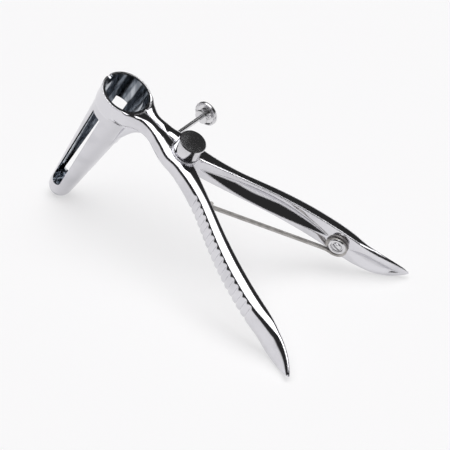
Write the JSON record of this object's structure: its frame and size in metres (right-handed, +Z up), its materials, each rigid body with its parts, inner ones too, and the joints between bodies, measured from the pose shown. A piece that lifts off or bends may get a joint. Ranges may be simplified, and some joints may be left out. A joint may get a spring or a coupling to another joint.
{
  "type": "anal speculum",
  "caption": "Bivalve anal speculum: tapered windowed half-tube blades swung open by ribbed handles, with a pivot knob, an adjusting screw and a wire return spring.",
  "frame": {"origin": "middle of the footprint on the surface that it stands on, under the middle of its bounding box", "axes": "+X from the blades to the handle ends, +Y to the half that carries the adjusting screw, +Z up"},
  "size_m": [0.2165, 0.1196, 0.098],
  "materials": {
    "polished_steel": "mirror polish",
    "polished_sheet": "mirror polish",
    "spring_steel": "drawn wire"
  },
  "bodies": {
    "near_half": {"near_handle": "polished_steel", "near_blade": "polished_sheet", "pivot_screw": "polished_steel", "knob_washer": "polished_steel"},
    "far_half": {"far_handle": "polished_steel", "far_blade": "polished_sheet", "spring_cup_washer": "polished_steel", "spring_screw": "polished_steel", "spring_wire": "spring_steel"},
    "knob": {"pivot_knob": "polished_steel"},
    "adjuster": {"adjusting_screw": "polished_steel"},
    "thumb_disc": {"adjusting_disc": "polished_steel"}
  },
  "joints": [
    {"name": "handle_hinge", "type": "hinge", "parent": "near_half", "child": "far_half", "pos_m": [-0.0106, 0, 0.06311], "axis": [-0.4693, 0, -0.883], "range_deg": [0, 34], "stiffness_Nm_per_rad": 0.9, "springref_deg": -9.74, "deforming": ["spring_wire"]},
    {"name": "screw_travel", "type": "slide", "parent": "far_half", "child": "adjuster", "axis": [0, -1, 0], "range_m": [0, 0.007]},
    {"name": "disc_turn", "type": "hinge", "parent": "adjuster", "child": "thumb_disc", "pos_m": [-0.02271, 0.038, 0.06909], "axis": [0, 1, 0], "continuous": true},
    {"name": "knob_turn", "type": "hinge", "parent": "near_half", "child": "knob", "pos_m": [-0.00534, 0, 0.073], "axis": [0.4693, 0, 0.883], "continuous": true}
  ],
  "couplings": [
    {"joint": "screw_travel", "follows": "handle_hinge", "m_per_rad": 0.0115}
  ]
}
